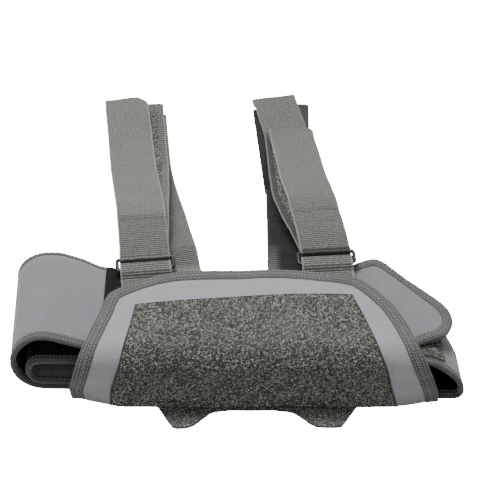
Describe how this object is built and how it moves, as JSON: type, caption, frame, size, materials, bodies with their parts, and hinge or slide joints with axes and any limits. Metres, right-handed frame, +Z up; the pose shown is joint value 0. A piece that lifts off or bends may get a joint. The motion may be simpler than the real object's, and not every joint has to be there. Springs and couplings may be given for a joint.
{
  "type": "arm sling",
  "caption": "Folded arm sling: foam forearm pouch with a pile front, wide foam waist belt folded flat under it, and webbing shoulder straps on wire rings.",
  "frame": {"origin": "centre of the bounding box in plan, on the surface the folded sling lies on", "axes": "+Z up; +Y from the pouch's front towards the straps' far ends; +X towards the belt's tongue"},
  "size_m": [0.4478, 0.5404, 0.0755],
  "materials": {
    "pouch_foam": "brushed foam laminate, light grey",
    "belt_foam": "brushed foam laminate, grey",
    "lining": "smooth black knit",
    "binding_tape": "woven tape, dark grey, zigzag stitched",
    "pile": "unbroken loop pile, dark grey",
    "hook": "hook tape, black",
    "ring_metal": "black enamelled wire",
    "tab_webbing": "smooth elastic webbing, warm grey",
    "anchor_webbing": "ribbed webbing, light grey",
    "webbing": "ribbed elastic webbing, grey"
  },
  "bodies": {
    "root": {"front_wall": "pouch_foam", "front_binding": "binding_tape", "front_loop_patch": "pile", "rear_wall": "pouch_foam", "rear_lining": "lining", "rear_binding": "binding_tape", "under_flap": "pile", "under_flap_binding": "binding_tape", "belt_band": "belt_foam", "belt_near_binding": "binding_tape", "belt_far_binding": "binding_tape", "belt_loop_patch": "pile", "left_anchor": "anchor_webbing", "right_anchor": "anchor_webbing", "left_rear_tail": "webbing", "right_rear_tail": "webbing"},
    "tongue": {"belt_tongue": "belt_foam", "belt_tongue_binding": "binding_tape", "belt_tongue_hook_patch": "hook"},
    "left_strap": {"left_ring": "ring_metal", "left_under_run": "webbing", "left_loop_patch": "pile", "left_rear_run": "webbing"},
    "left_tab": {"left_top_run": "webbing", "left_hook_tab": "tab_webbing", "left_hook_patch": "hook"},
    "right_strap": {"right_ring": "ring_metal", "right_under_run": "webbing", "right_loop_patch": "pile", "right_rear_run": "webbing", "right_under_end": "hook"},
    "right_tab": {"right_top_run": "webbing", "right_hook_tab": "tab_webbing", "right_hook_patch": "hook"}
  },
  "joints": [
    {"name": "left_strap_lift", "type": "hinge", "parent": "root", "child": "left_strap", "pos_m": [-0.09122, -0.11234, 0.0675], "axis": [0.9936, 0.1132, 0], "range_deg": [0, 75]},
    {"name": "left_tab_peel", "type": "hinge", "parent": "left_strap", "child": "left_tab", "pos_m": [-0.09312, -0.09566, 0.07313], "axis": [0.9936, 0.1132, 0], "range_deg": [0, 60]},
    {"name": "right_strap_lift", "type": "hinge", "parent": "root", "child": "right_strap", "pos_m": [0.09008, -0.10284, 0.0675], "axis": [0.9969, 0.0785, 0], "range_deg": [0, 75]},
    {"name": "right_tab_peel", "type": "hinge", "parent": "right_strap", "child": "right_tab", "pos_m": [0.08876, -0.0861, 0.07313], "axis": [0.9969, 0.0785, 0], "range_deg": [0, 60]},
    {"name": "tongue_fold", "type": "hinge", "parent": "root", "child": "tongue", "pos_m": [0.14778, -0.15034, 0.0548], "axis": [0.4557, -0.8901, 0], "range_deg": [0, 70]}
  ]
}
